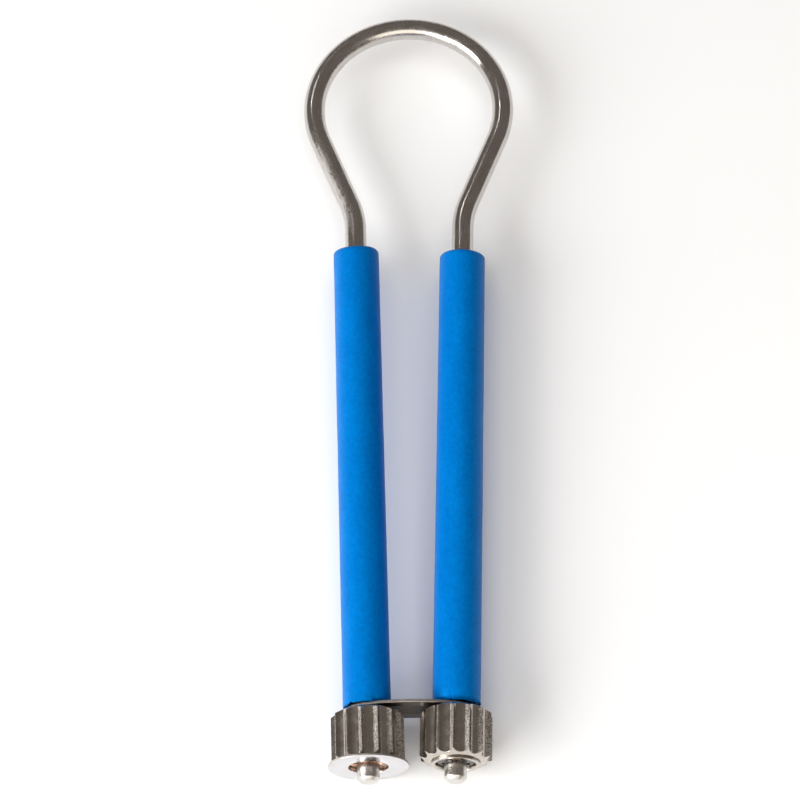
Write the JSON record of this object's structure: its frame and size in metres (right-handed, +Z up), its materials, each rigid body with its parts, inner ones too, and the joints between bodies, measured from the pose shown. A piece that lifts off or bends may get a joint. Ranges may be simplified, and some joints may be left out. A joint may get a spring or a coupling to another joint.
{
  "type": "frame wire crimper",
  "caption": "Sprung squeeze tool whose two fluted rollers crimp and tighten the wire of a beekeeping frame as it is drawn along.",
  "frame": {"origin": "middle of the outline seen from above, at the lowest point of the flange disc", "axes": "+Y along the tool from the rollers to the bow, +X to the right-hand leg, +Z up, square to the plane of the rod"},
  "size_m": [0.0606, 0.2326, 0.0213],
  "materials": {
    "rod": "polished stainless",
    "grip": "satin azure blue",
    "plate": "satin stamped steel",
    "roller": "nickel plated, rough flute edges",
    "disc": "mirror polished",
    "bush": "sintered bronze",
    "washer": "bronze, dull",
    "clip_left": "copper coloured plating",
    "clip_right": "oiled spring steel",
    "stop": "blackened spring steel"
  },
  "bodies": {
    "left_arm": {"arm_left": "rod", "grip_sleeve_left": "grip", "guide_plate": "plate", "stop_ring_left": "stop", "retaining_clip_left": "clip_left", "thrust_washer_left": "washer"},
    "right_arm": {"arm_right": "rod", "grip_sleeve_right": "grip", "stop_ring_right": "stop", "retaining_clip_right": "clip_right", "thrust_washer_right": "washer"},
    "left_roller": {"roller_left": "roller", "bush_left": "bush", "flange_disc": "disc"},
    "right_roller": {"roller_right": "roller", "bush_right": "bush"}
  },
  "joints": [
    {"name": "squeeze", "type": "hinge", "parent": "left_arm", "child": "right_arm", "pos_m": [0, 0.11028, 0.01063], "axis": [0, 0, -1], "range_deg": [0, 1.2], "stiffness_Nm_per_rad": 115},
    {"name": "left_roller_spin", "type": "hinge", "parent": "left_arm", "child": "left_roller", "pos_m": [-0.01163, -0.10429, 0.01063], "axis": [-0.0238, 0.9997, 0], "continuous": true},
    {"name": "right_roller_spin", "type": "hinge", "parent": "right_arm", "child": "right_roller", "pos_m": [0.01163, -0.10429, 0.01063], "axis": [0.0238, 0.9997, 0], "continuous": true}
  ],
  "couplings": [
    {"joint": "right_roller_spin", "follows": "left_roller_spin", "ratio": -1}
  ]
}
